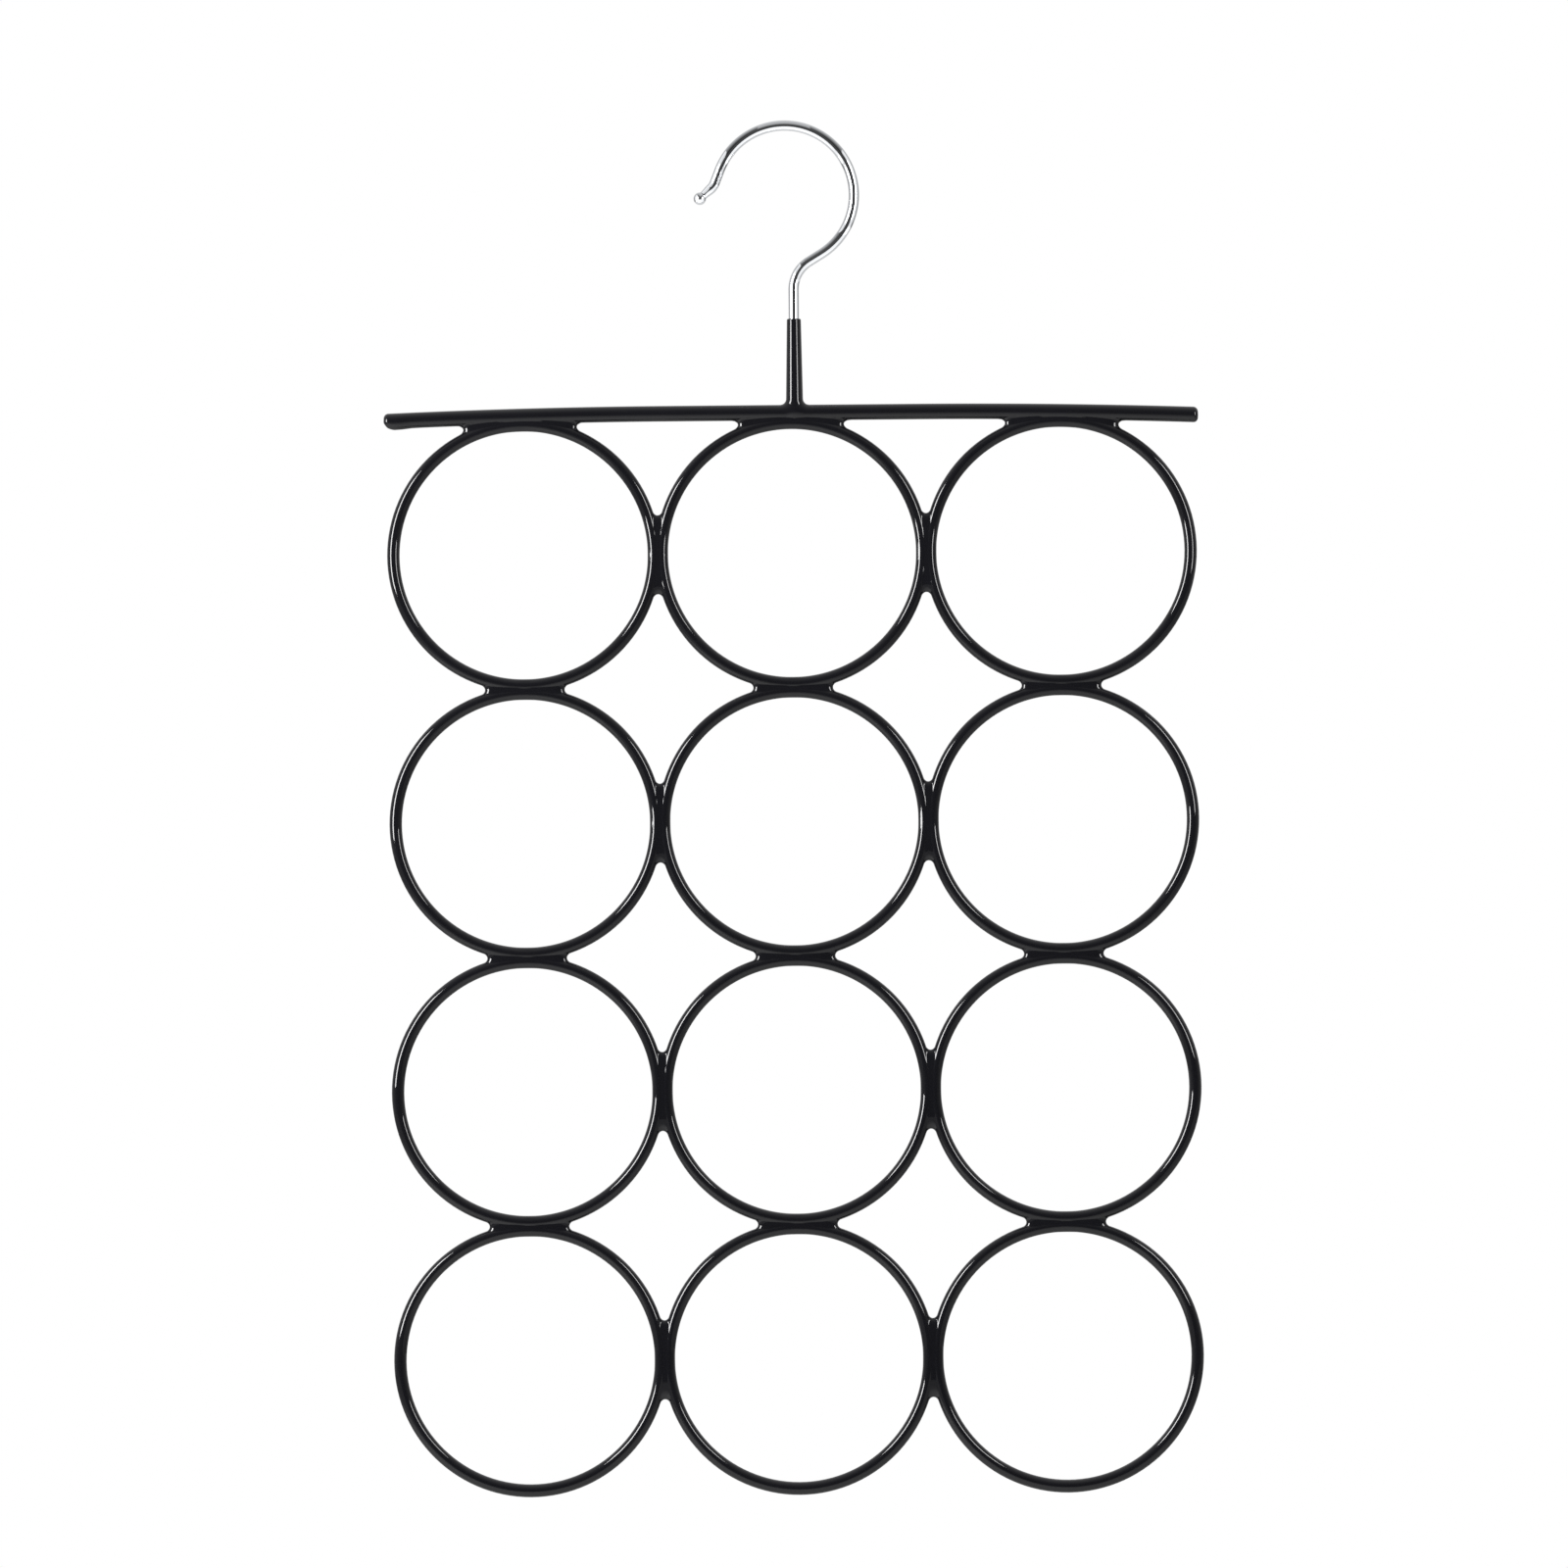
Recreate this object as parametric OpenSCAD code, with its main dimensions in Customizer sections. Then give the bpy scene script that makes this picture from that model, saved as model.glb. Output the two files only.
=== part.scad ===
// Scarf hanger: a chromed wire hook on a top bar that carries a grid of welded wire rings.
// The bar, the rings and the foot of the hook are dipped in one black soft plastic skin.
// Millimetres. X runs along the bar, Z is up, the rings stand in the XZ plane and the front faces -Y.
// The origin is the place on the inside of the crook that rests on the rail.

/* [Rings] */
// Clear opening of a ring
ring_bore = 79.1; // [60:0.1:90]
// Steel wire of a ring
ring_wire_d = 2.8; // [2.4:0.1:3.2]
// Plastic skin on the wires
skin_t = 0.6; // [0.5:0.1:0.8]
// How far two wires are pressed into each other where they are welded
weld_press = 0.33; // [0.2:0.01:0.5]
// Rings side by side
columns = 3; // [1:1:3]
// Rings one above another
rows = 4; // [1:1:4]

/* [Webs of skin beside the welds] */
// Gap between two skins that the plastic still bridges
web_gap = 2.1; // [1.5:0.1:2.4]
// Thickness of a web, front to back
web_t = 3; // [2.4:0.1:3]
// Radius of the hollow edge that ends a web
web_edge_r = 2.75; // [2.75:0.05:3.2]

/* [Top bar] */
// Length over the rounded ends
bar_length = 259.7; // [240:0.1:280]
// Steel wire of the bar
bar_wire_d = 3.8; // [3.4:0.1:4]
// Straight middle of the bar
bar_straight = 80; // [60:1:90]
// How far each end hangs below the middle
bar_droop = 1.75; // [1:0.05:2.5]
// How far the middle ring is pressed into the bar
bar_press = 0.04; // [0.03:0.01:0.2]
// Thickness of the skin at the ends of the bar
bar_end_t = 1.5; // [0.8:0.1:2]
// Radius of the domed ends
bar_dome_r = 3.3; // [2.9:0.1:5]

/* [Sleeve on the shank] */
// Height of the sleeve above the bar
sleeve_height = 27.4; // [15:0.1:32]
// Diameter at the rim
sleeve_rim_d = 4.5; // [4.3:0.1:5]
// Diameter where it meets the bar
sleeve_foot_d = 5.5; // [5.1:0.1:5.8]
// Fillet between the sleeve and the bar
sleeve_fillet_r = 1.8; // [1:0.1:2.4]
// Rounding of the rim
sleeve_rim_r = 0.4; // [0.1:0.1:0.5]

/* [Hook] */
// Chromed wire
hook_wire_d = 3.3; // [3:0.1:3.6]
// Clear diameter of the crook
crook_bore = 41; // [30:0.5:45]
// Turn of the crook from its top back to the neck
crook_back = 148.5; // [140:0.5:155]
// Turn of the crook from its top forward to the tip
crook_front = 68.7; // [55:0.1:75]
// Straight run of the neck
neck_straight = 7.4; // [5:0.1:10]
// Bend between the neck and the shank, on the wire's centreline
neck_bend_r = 5.5; // [4:0.5:8]
// Straight run between the crook and the bend before the tip
tip_straight = 4.3; // [3:0.1:9]
// Outward bend before the tip
tip_bend = 27.3; // [15:0.1:35]
// Radius of that bend, on the wire's centreline
tip_bend_r = 5; // [4:0.5:8]
// Straight run from that bend to the centre of the ball
tip_stub = 4.6; // [3:0.1:6]
// Ball at the tip
ball_d = 4; // [3.8:0.1:5]
// Height of the rail's seat above the middle of the bar
hook_height = 89.9; // [75:0.1:110]
// Sideways distance from the middle of the bar to the seat
seat_offset = -1.4; // [-5:0.1:5]

/* [Hidden] */
// Centreline and radii of the wires
ring_skin_d = ring_wire_d + 2 * skin_t;
ring_r = (ring_bore + ring_skin_d) / 2;
bar_skin_d = bar_wire_d + 2 * skin_t;
crook_r = (crook_bore + hook_wire_d) / 2;

// The grid hangs from the bar, and its middle is the middle of the bar
pitch = 2 * ring_r + ring_wire_d - weld_press;
frame_x = -seat_offset;
bar_z = -hook_height;
ring_1_z = bar_z - ring_r - (bar_wire_d + ring_wire_d) / 2 + bar_press;

// Each end of the bar is one shallow arc
droop_run = (bar_length - bar_straight) / 2;
droop_r = (droop_run * droop_run + bar_droop * bar_droop) / (2 * bar_droop);

// The shank stands below the end of the neck's bend
neck_angle = crook_back - 90;
shank_x = crook_r * cos(neck_angle) - neck_straight * sin(neck_angle)
    - neck_bend_r * (1 - cos(neck_angle));
shank_top_z = -crook_r + hook_wire_d / 2 - crook_r * sin(neck_angle) - neck_straight * cos(neck_angle)
    - neck_bend_r * sin(neck_angle);

// Half of a web's length, to where its hollow edge starts, and past where the cutting blocks reach
web_half = sqrt(pow(ring_r + ring_skin_d / 2, 2) - pow((pitch - web_gap) / 2, 2));
past = 4;
// Step left at the edge of the sleeve's fillet, in place of a feather edge
fillet_lip = 0.05;

ring_names = [for (row = [1:rows], column = [1:columns]) str("r", row, "_c", column)];

chrome = [0.78, 0.79, 0.8];
steel = [0.5, 0.5, 0.51];
black_plastic = [0.09, 0.09, 0.1];

function ring_x(column) = frame_x + (column - (columns + 1) / 2) * pitch;
function ring_z(row) = ring_1_z - (row - 1) * pitch;

// How far the bar's centreline has dropped at a distance from its middle
function bar_drop(x) = droop_r - sqrt(pow(droop_r, 2) - pow(max(0, abs(x) - bar_straight / 2), 2));

// Directions in which a ring has a ring beside it: 0 is +X, 90 is up
function weld_sides(row, column) = [
    if (column < columns) 0,
    if (row > 1) 90,
    if (column > 1) 180,
    if (row < rows) 270
];

// Stands what is drawn in XY up in the XZ plane
module upright() {
    rotate([90, 0, 0]) children();
}

module at_ring(row, column) {
    translate([ring_x(column), 0, ring_z(row)]) upright() children();
}

// A wire is drawn in XY as a chain of runs and turns, each heading along +Y from where the last ended
module run(length, d) {
    rotate([-90, 0, 0]) cylinder(h = length, d = d, $fn = 48);
    translate([0, length, 0]) children();
}

// To the left for a positive angle, to the right for a negative one
module turn(angle, radius, d) {
    over = angle > 0 ? 0 : 180;
    rotate([0, over, 0]) {
        turned_wire(abs(angle), radius, d);
        about_left(abs(angle), radius) rotate([0, over, 0]) children();
    }
}

// The arc runs on a little and is cut off square where the next piece starts
module turned_wire(angle, radius, d) {
    overrun = asin(d / radius / 2);
    difference() {
        translate([-radius, 0, 0]) rotate_extrude(angle = angle + overrun, $fn = max(96, 8 * 360 / angle))
            translate([radius, 0]) circle(d = d, $fn = 48);
        about_left(angle, radius) translate([-d, 0, -d]) cube([2 * d, d, 2 * d]);
    }
}

// Turns about a point to the left of the heading
module about_left(angle, radius) {
    translate([-radius, 0, 0]) rotate([0, 0, angle]) translate([radius, 0, 0]) children();
}

module full_ring(d) {
    rotate_extrude($fn = 144) translate([ring_r, 0]) circle(d = d, $fn = 48);
}

// Everything beyond the plane halfway to the next ring, on the +X side
module beyond_weld() {
    translate([pitch / 2, -ring_r / 2, -past]) cube([past, ring_r, 2 * past]);
}

// Half web on the +X side, drawn past the halfway plane
module half_web() {
    edge_y = web_half + web_edge_r;
    difference() {
        translate([ring_r - past, -edge_y]) square([pitch / 2 + 1 - ring_r + past, 2 * edge_y]);
        circle(r = ring_r, $fn = 144);
        for (side = [-1, 1]) translate([pitch / 2, side * edge_y]) circle(r = web_edge_r, $fn = 64);
    }
}

// Web between a ring of the first row and the bar, drawn up to the bar's centreline
module bar_web(column) {
    axis_y = bar_z - ring_1_z - bar_drop(ring_x(column) - frame_x);
    difference() {
        translate([-ring_r / 2, ring_r * 0.85]) square([ring_r, axis_y - ring_r * 0.85]);
        circle(r = ring_r, $fn = 144);
        for (side = [-1, 1]) bar_web_edge(column, side, axis_y);
    }
}

// Hollow edge of that web: a circle midway between the two skins, and all that lies outside it
module bar_web_edge(column, side, axis_y) {
    skin_r = ring_r + ring_skin_d / 2;
    bar_under = bar_z - ring_1_z - bar_drop(ring_x(column) - frame_x + side * ring_r * 0.42) - bar_skin_d / 2;
    reach = sqrt(pow(skin_r, 2) - pow(bar_under - web_gap, 2)) + web_edge_r;
    middle_y = (bar_under + sqrt(pow(skin_r, 2) - pow(reach, 2))) / 2;
    translate([side * reach, middle_y]) circle(r = web_edge_r, $fn = 64);
    translate([side > 0 ? reach : -reach - ring_r, 0]) square([ring_r, axis_y + 1]);
}

// Goes to both ends of the bar's straight middle, heading outwards
module at_bar_arcs() {
    translate([frame_x, 0, bar_z]) upright() for (side = [0, 180]) rotate([0, side, 0]) rotate([0, 0, -90])
        translate([0, bar_straight / 2, 0]) rotate([0, 180, 0]) children();
}

// The bar's centreline followed by a round section, from end to end less an inset
module bar_run(d, inset) {
    at_bar_arcs() {
        turned_wire(asin((droop_run - inset) / droop_r), droop_r, d);
        translate([0, -bar_straight / 2, 0]) run(bar_straight / 2, d);
    }
}

// The bar's steel wire stops short of the ends of its skin
module bar_core() {
    bar_run(bar_wire_d, bar_end_t);
}

// The bar with its skin, domed at both ends
module coated_bar() {
    difference() {
        bar_run(bar_skin_d, 0);
        at_bar_arcs() about_left(asin(droop_run / droop_r), droop_r) translate([0, -bar_dome_r, 0]) difference() {
            translate([-bar_skin_d, bar_dome_r / 3, -bar_skin_d]) cube(2 * bar_skin_d);
            sphere(r = bar_dome_r, $fn = 96);
        }
    }
}

// The hook's straight shank, from the middle of the bar up to the neck
module shank() {
    translate([shank_x, 0, bar_z]) upright() run(shank_top_z - bar_z, hook_wire_d) children();
}

// Wire of one ring, flattened where it is welded to its neighbours and to the bar
module ring_wire(row, column) {
    color(steel) difference() {
        at_ring(row, column) difference() {
            full_ring(ring_wire_d);
            for (side = weld_sides(row, column)) rotate([0, 0, side]) beyond_weld();
        }
        if (row == 1) bar_core();
    }
}

// Skin of one ring with its half of each web
module ring_coat(row, column) {
    color(black_plastic) difference() {
        at_ring(row, column) difference() {
            union() {
                full_ring(ring_skin_d);
                linear_extrude(height = web_t, center = true) {
                    for (side = weld_sides(row, column)) rotate(side) half_web();
                    if (row == 1) bar_web(column);
                }
            }
            full_ring(ring_wire_d);
            for (side = weld_sides(row, column)) rotate([0, 0, side]) beyond_weld();
        }
        if (row == 1) coated_bar();
    }
}

module top_bar_wire() {
    color(steel) bar_core();
}

// Skin of the bar, open where the hook and the first row of rings are welded on
module bar_coat() {
    color(black_plastic) difference() {
        coated_bar();
        bar_core();
        shank();
        for (column = [1:columns]) at_ring(1, column) full_ring(ring_wire_d);
    }
}

// Skin drawn up the shank: a slow taper that spreads onto the bar in a fillet
module shank_sleeve() {
    foot_z = bar_skin_d / 2;
    color(black_plastic) difference() {
        union() {
            translate([shank_x, 0, bar_z]) rotate_extrude($fn = 64) sleeve_outline(foot_z);
            translate([shank_x, 0, bar_z]) sleeve_saddle(foot_z);
        }
        coated_bar();
        shank();
    }
}

module sleeve_outline(foot_z) {
    rim_z = foot_z + sleeve_height;
    rim_corner = sleeve_rim_d / 2 - sleeve_rim_r;
    polygon([[0, foot_z / 2], [sleeve_foot_d / 2, foot_z / 2], [sleeve_foot_d / 2, foot_z + sleeve_fillet_r],
        [sleeve_rim_d / 2, rim_z - sleeve_rim_r], [rim_corner, rim_z], [0, rim_z]]);
}

// The bar's own round section, raised beside the shank and cut off flush with the bar's sides
module sleeve_saddle(foot_z) {
    side_x = sleeve_foot_d / 2 + sleeve_fillet_r;
    lip_x = side_x - sqrt(pow(sleeve_fillet_r, 2) - pow(sleeve_fillet_r - fillet_lip, 2));
    intersection() {
        rotate([0, 90, 0]) rotate_extrude($fn = 96) rotate(90) difference() {
            translate([-lip_x, 0]) square([2 * lip_x, foot_z + sleeve_fillet_r]);
            for (side = [-1, 1]) translate([side * side_x, foot_z + sleeve_fillet_r])
                circle(r = sleeve_fillet_r, $fn = 64);
        }
        translate([-side_x, -foot_z, 0]) cube([2 * side_x, 2 * foot_z, 2 * foot_z + sleeve_fillet_r]);
    }
}

// One wire: shank, neck, crook and an outward tip with a ball, seated on the bar's wire
module hook() {
    d = hook_wire_d;
    color(chrome) difference() {
        shank() turn(-neck_angle, neck_bend_r, d) run(neck_straight, d)
            turn(crook_back + crook_front, crook_r, d)
            run(tip_straight, d) turn(-tip_bend, tip_bend_r, d) run(tip_stub, d) sphere(d = ball_d, $fn = 48);
        bar_core();
    }
}

hook();
top_bar_wire();
bar_coat();
shank_sleeve();
for (row = [1:rows], column = [1:columns]) {
    ring_wire(row, column);
    ring_coat(row, column);
}
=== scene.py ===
# %% [markdown]
# # A scarf hanger in black dipped wire
# The hanger is a grid of twelve wire rings under a straight top bar, with a chromed hook above.
# Steel wire is welded first, then the whole frame is dipped in liquid PVC, which sets to one soft
# glossy skin. The wires inside come from the engineering model. This script makes what the eye
# sees: the skin with its small webs beside every weld, and the polished hook.

# %% Load the frame
import math

import bmesh
import bpy
import numpy as np
from mathutils import Matrix, Vector


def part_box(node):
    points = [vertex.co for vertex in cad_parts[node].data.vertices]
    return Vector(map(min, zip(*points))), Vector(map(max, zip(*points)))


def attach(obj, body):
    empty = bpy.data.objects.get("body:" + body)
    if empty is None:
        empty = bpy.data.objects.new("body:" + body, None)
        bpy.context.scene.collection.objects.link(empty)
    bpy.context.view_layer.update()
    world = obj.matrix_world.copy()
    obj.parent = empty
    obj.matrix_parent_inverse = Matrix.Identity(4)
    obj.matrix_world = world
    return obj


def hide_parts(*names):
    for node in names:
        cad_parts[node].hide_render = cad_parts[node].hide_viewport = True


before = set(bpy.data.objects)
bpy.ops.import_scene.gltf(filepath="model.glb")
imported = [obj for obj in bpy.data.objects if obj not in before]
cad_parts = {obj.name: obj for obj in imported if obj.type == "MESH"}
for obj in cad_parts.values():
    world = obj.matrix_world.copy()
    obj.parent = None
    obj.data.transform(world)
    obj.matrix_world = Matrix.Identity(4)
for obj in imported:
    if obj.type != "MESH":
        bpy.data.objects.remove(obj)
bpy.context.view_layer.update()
MM = 0.001
print("CAD pieces:", len(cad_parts))

# %% [markdown]
# ## Measures
# The rings, the bar and the sleeve are placed by the boxes of the solid pieces, so that what is
# seen stays in step with them. Ring wires are pressed into each other where they are welded, so
# the box of one with neighbours on both sides is as wide as the step from ring to ring. All work
# below is in millimetres, because the numbers are then the ones a maker would use.

# %% Measures from the solid pieces
COLUMNS, ROWS = 3, 4
RING_WIRE_R, BAR_WIRE_R, HOOK_WIRE_R, SKIN = 1.4, 1.9, 1.65, 0.6
TUBE_R = RING_WIRE_R + SKIN
BAR_R = BAR_WIRE_R + SKIN


def box_mm(node):
    """Lowest and highest corner of a solid piece, in millimetres."""
    low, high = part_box(node)
    return np.array(low) / MM, np.array(high) / MM


bar_low, bar_high = box_mm("bar_coat")
left_low, _ = box_mm(f"ring_coat_r{ROWS}_c1")
_, right_high = box_mm(f"ring_coat_r{ROWS}_c{COLUMNS}")
bottom_low, _ = box_mm(f"ring_coat_r{ROWS}_c2")
ring_low, ring_high = box_mm("ring_wire_r2_c2")
PITCH = float(ring_high[0] - ring_low[0])
FRAME_X = float(left_low[0] + right_high[0]) / 2
RING_R = float(right_high[0] - left_low[0] - (COLUMNS - 1) * PITCH) / 2 - TUBE_R
BAR_Z = float(bar_high[2]) - BAR_R
BAR_HALF = float(bar_high[0] - bar_low[0]) / 2
BOTTOM_ROW_Z = float(bottom_low[2]) + RING_R + TUBE_R


def ring_centre(row, column):
    """Centre of a ring in the XZ plane; rows and columns count from 1, top left first."""
    x = FRAME_X + (column - (COLUMNS + 1) / 2) * PITCH
    return np.array([x, BOTTOM_ROW_Z + (ROWS - row) * PITCH])


print(f"pitch {PITCH:.2f}, ring radius {RING_R:.2f}, bar at {BAR_Z:.2f}, middle at x {FRAME_X:.2f} mm")

# %% [markdown]
# ## The skin as a distance
# PVC that sets on crossing wires pulls itself into the narrow gaps and leaves smooth hollow
# fillets. The easiest way to describe that is a distance: how far a point is outside the nearest
# tube. Where two tubes are close their distances are melted together with a smooth minimum, and
# the surface is where the result is zero. The melting fades towards the front and back of the
# tubes, so the webs stay flush and don't swell past the wire.
#
# First comes the bar. It is straight in the middle and bends down by under two millimetres
# towards its ends, and the last drop of the dip set at its left end.

# %% Distance to the bar
STRAIGHT_HALF, BAR_DROOP = 40.0, 1.75
DROOP_RUN = BAR_HALF - STRAIGHT_HALF
DROOP_R = (DROOP_RUN**2 + BAR_DROOP**2) / (2 * BAR_DROOP)
BAR_CORNER = 1.5
DRIP, DRIP_FROM_END, DRIP_LENGTH = 0.2, 4.4, 3.0
DRIP_NOSE, DRIP_NOSE_DEPTH = 3.6, 1.9
TINY = 1e-6


def bar_height(x):
    """Height of the bar's centreline: straight in the middle, then one shallow arc to each end."""
    out = np.maximum(0.0, np.abs(x - FRAME_X) - STRAIGHT_HALF)
    return BAR_Z - (DROOP_R - np.sqrt(DROOP_R**2 - out**2))


def drip(x):
    """The last drop of PVC ran to the left end and set there."""
    from_end = x - (FRAME_X - BAR_HALF)
    return DRIP * np.exp(-(((from_end - DRIP_FROM_END) / DRIP_LENGTH) ** 2))


def bar_radius(x):
    """Radius of the coated bar, rounded off at both ends."""
    from_end = np.clip(BAR_HALF - np.abs(x - FRAME_X), 0.0, BAR_CORNER)
    corner = np.sqrt(BAR_CORNER**2 - (BAR_CORNER - from_end) ** 2)
    return BAR_R - BAR_CORNER + corner + drip(x)


def drip_nose(x, lower):
    """How far the underside rises to the left end, where the drop was drawn out."""
    from_end = np.clip(x - (FRAME_X - BAR_HALF), 0.0, DRIP_NOSE)
    rise = 1 - np.sqrt(1 - (1 - from_end / DRIP_NOSE) ** 2)
    return DRIP_NOSE_DEPTH * rise * lower**2


def to_bar(p):
    """Distance to the coated bar."""
    drop = p[..., 2] - bar_height(p[..., 0]) + drip(p[..., 0])
    out = np.hypot(drop, p[..., 1])
    lower = np.clip(-drop / np.maximum(out, TINY), 0.0, 1.0)
    return out - bar_radius(p[..., 0]) + drip_nose(p[..., 0], lower)


print(f"bar ends droop {BAR_Z - float(bar_height(FRAME_X + BAR_HALF)):.2f} mm")

# %% Distance to a ring
RING_SAG = 0.07


def to_ring(p, centre):
    """Distance to a coated ring, a little fatter at its foot where the dip drained."""
    dx = p[..., 0] - centre[0]
    dz = p[..., 2] - centre[1]
    out = np.hypot(dx, dz)
    foot = np.clip(-dz / np.maximum(out, TINY), 0.0, 1.0) ** 3
    return np.hypot(out - RING_R, p[..., 1]) - TUBE_R - RING_SAG * foot


print(f"a ring is {2 * (RING_R + TUBE_R):.2f} mm across")

# %% [markdown]
# The sleeve is where the dipped frame's skin climbs the hook's shank. It is a slim cone. Its foot
# is squashed a little from front to back, so that it sinks into the bar without standing proud.

# %% Distance to the sleeve
sleeve_low, sleeve_high = box_mm("shank_sleeve")
SHANK_X = float(sleeve_low[0] + sleeve_high[0]) / 2
SLEEVE_TOP = float(sleeve_high[2])
SLEEVE_FOOT_R, SLEEVE_RIM_R, RIM_ROUND = 2.75, 2.25, 0.45
SLEEVE_SEAT, SLEEVE_SQUASH = 1.5, 0.13
SQUASH_FROM, SQUASH_RUN = 1.0, BAR_R + 1
BAR_TOP = BAR_Z + BAR_R


def sleeve_radius(z):
    """The skin thins as it climbs the shank, and its rim is a soft edge."""
    up = np.clip((z - BAR_TOP) / (SLEEVE_TOP - BAR_TOP), 0.0, 1.0)
    from_rim = np.clip(SLEEVE_TOP - z, 0.0, RIM_ROUND)
    rim = np.sqrt(RIM_ROUND**2 - (RIM_ROUND - from_rim) ** 2) - RIM_ROUND
    return SLEEVE_FOOT_R + (SLEEVE_RIM_R - SLEEVE_FOOT_R) * up + rim


def to_sleeve(p):
    """Distance to the sleeve of skin on the shank, whose foot sinks into the bar's skin."""
    over = p[..., 2] - BAR_Z
    flat = 1 + SLEEVE_SQUASH * (1 - np.clip((over - SQUASH_FROM) / SQUASH_RUN, 0.0, 1.0))
    below = np.minimum(over - SLEEVE_SEAT, 0.0)
    out = np.sqrt((p[..., 0] - SHANK_X) ** 2 + (flat * p[..., 1]) ** 2 + below**2)
    return out - sleeve_radius(p[..., 2])


print(f"sleeve {SLEEVE_TOP - BAR_Z:.1f} mm tall")

# %% [markdown]
# Where two distances are both small they are joined by a power of what is left up to the reach:
# a power of 2 draws a quarter circle, and a lower power fills the corner more. PVC fills the
# narrow gap beside a weld almost flat, and runs up the shank in a round fillet.

# %% Melt two skins together
WEB_REACH, WEB_POWER = 2.7, 1.4
FILLET_REACH, FILLET_POWER = 1.9, 2.0
WEB_FRONT, WEB_EDGE = 1.98, 8
THINNEST_REACH = 0.01
DRAINED = 0.05


def melt(a, b, reach, power):
    """Joins two skins with a hollow fillet; a power of 2 makes it round, a lower one fuller."""
    up_a = np.maximum(reach - a, 0.0)
    up_b = np.maximum(reach - b, 0.0)
    filled = reach - (up_a**power + up_b**power) ** (1 / power)
    return np.where((a < reach) & (b < reach), filled, np.minimum(a, b))


def web_reach(p):
    """The webs fade before the front of the tubes, and are fuller low down, where PVC drained."""
    front = np.clip(1.0 - (p[..., 1] / WEB_FRONT) ** WEB_EDGE, THINNEST_REACH, 1.0)
    height = (p[..., 2] - BOTTOM_ROW_Z) * 2 * math.pi / PITCH
    return WEB_REACH * front * (1 - DRAINED * np.sin(height))


def fillet_reach(p):
    """The fillet where the sleeve stands on the bar is the same all round."""
    return np.full(p.shape[:-1], FILLET_REACH)


in_web = float(melt(1.0, 1.0, WEB_REACH, WEB_POWER))
print(f"a point 1 mm from both of two skins is at {in_web:.2f} mm, so just inside the web")

# %% [markdown]
# ## One piece of skin for each wire
# The skin is one sheet of PVC, but a mesh that follows each wire is far cleaner than one lump:
# its rows of faces run round the tube, so the gloss runs in unbroken lines. Each piece owns the
# space that is nearer to its own wire than to any other. From the wire's centre, rays go out in
# each cross-section until they leave the skin or reach the border with the next piece.

# %% Rays from the wire's centre
RAY_END = 6.6
RAY_STEPS = 44
HALVINGS = 13


class Tube:
    """A wire's skin: its own distance, and its neighbours with how far they melt."""

    def __init__(self, own, others):
        self.own = own
        self.others = others

    def surface(self, p):
        """Below zero inside the skin."""
        own = self.own(p)
        skin = own
        for other, reach, power in self.others:
            skin = np.minimum(skin, melt(own, other(p), reach(p), power))
        return skin

    def border(self, p):
        """Below zero where the point is nearer to this wire than to the others."""
        if not self.others:
            return np.full(p.shape[:-1], -1.0)
        return self.own(p) - np.min([other(p) for other, _, _ in self.others], axis=0)

    def hit(self, start, heading):
        """Distance along each ray to the skin or the border, and whether it was the border."""
        def outside(s):
            p = start + heading * s[..., None]
            return np.maximum(self.surface(p), self.border(p)) > 0

        low = np.zeros(start.shape[:-1])
        high = np.full(start.shape[:-1], RAY_END)
        found = np.zeros(start.shape[:-1], bool)
        for step in range(1, RAY_STEPS + 1):
            s = np.full(low.shape, RAY_END * step / RAY_STEPS)
            out = outside(s)
            high = np.where(out & ~found, s, high)
            found |= out
            low = np.where(found, low, s)
            if found.all():
                break
        for _ in range(HALVINGS):
            middle = (low + high) / 2
            out = outside(middle)
            high = np.where(out, middle, high)
            low = np.where(out, low, middle)
        end = start + heading * high[..., None]
        return high, self.border(end) > self.surface(end)


def heading_at(side, angle):
    """Directions in the cross-sections: angle 0 is side, a right angle is towards the back."""
    back = np.array([0.0, 1.0, 0.0])
    return side * np.cos(angle)[..., None] + back * np.sin(angle)[..., None]


def touching_angle(tube, start, side):
    """Half the angle round side in which a section touches its neighbour's piece, else 0."""
    low = np.zeros(len(start))
    high = np.full(len(start), math.pi / 2)
    _, touches = tube.hit(start, side)
    for _ in range(HALVINGS):
        middle = (low + high) / 2
        _, hits_border = tube.hit(start, heading_at(side, middle))
        low = np.where(hits_border, middle, low)
        high = np.where(hits_border, high, middle)
    return np.where(touches, low, 0.0)


print("rays of", RAY_END, "mm in", RAY_STEPS, "steps")

# %% [markdown]
# ## From rays to a mesh
# Every cross-section gets the same number of points, so the sections can be joined by quads.
# Two of the points always sit exactly where the skin meets its neighbour, which keeps the seam
# between two pieces tight. The shading normals are taken from the distance itself, so gloss
# crosses a seam without a break, as it does on one dipped skin.

# %% Build a skin from cross-sections
HALF_POINTS = 20
WALL_POINTS = 2
SLOPE_STEP = 0.01
JOIN_WITHIN, THIN_EDGE = 2e-6, 1e-6
scene = bpy.context.scene


def section_angles(low_touch, high_touch):
    """Angles of the points of each half section, from side round to the opposite side."""
    low_touch = low_touch[:, None]
    high_touch = high_touch[:, None]
    wall = np.linspace(0, 1, WALL_POINTS + 1)[:-1][None]
    free = np.linspace(0, 1, HALF_POINTS)[None]
    first = low_touch * wall
    middle = low_touch + (math.pi - high_touch - low_touch) * free
    last = math.pi - high_touch * wall[:, ::-1]
    return np.concatenate([first, middle, last], axis=1)


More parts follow.
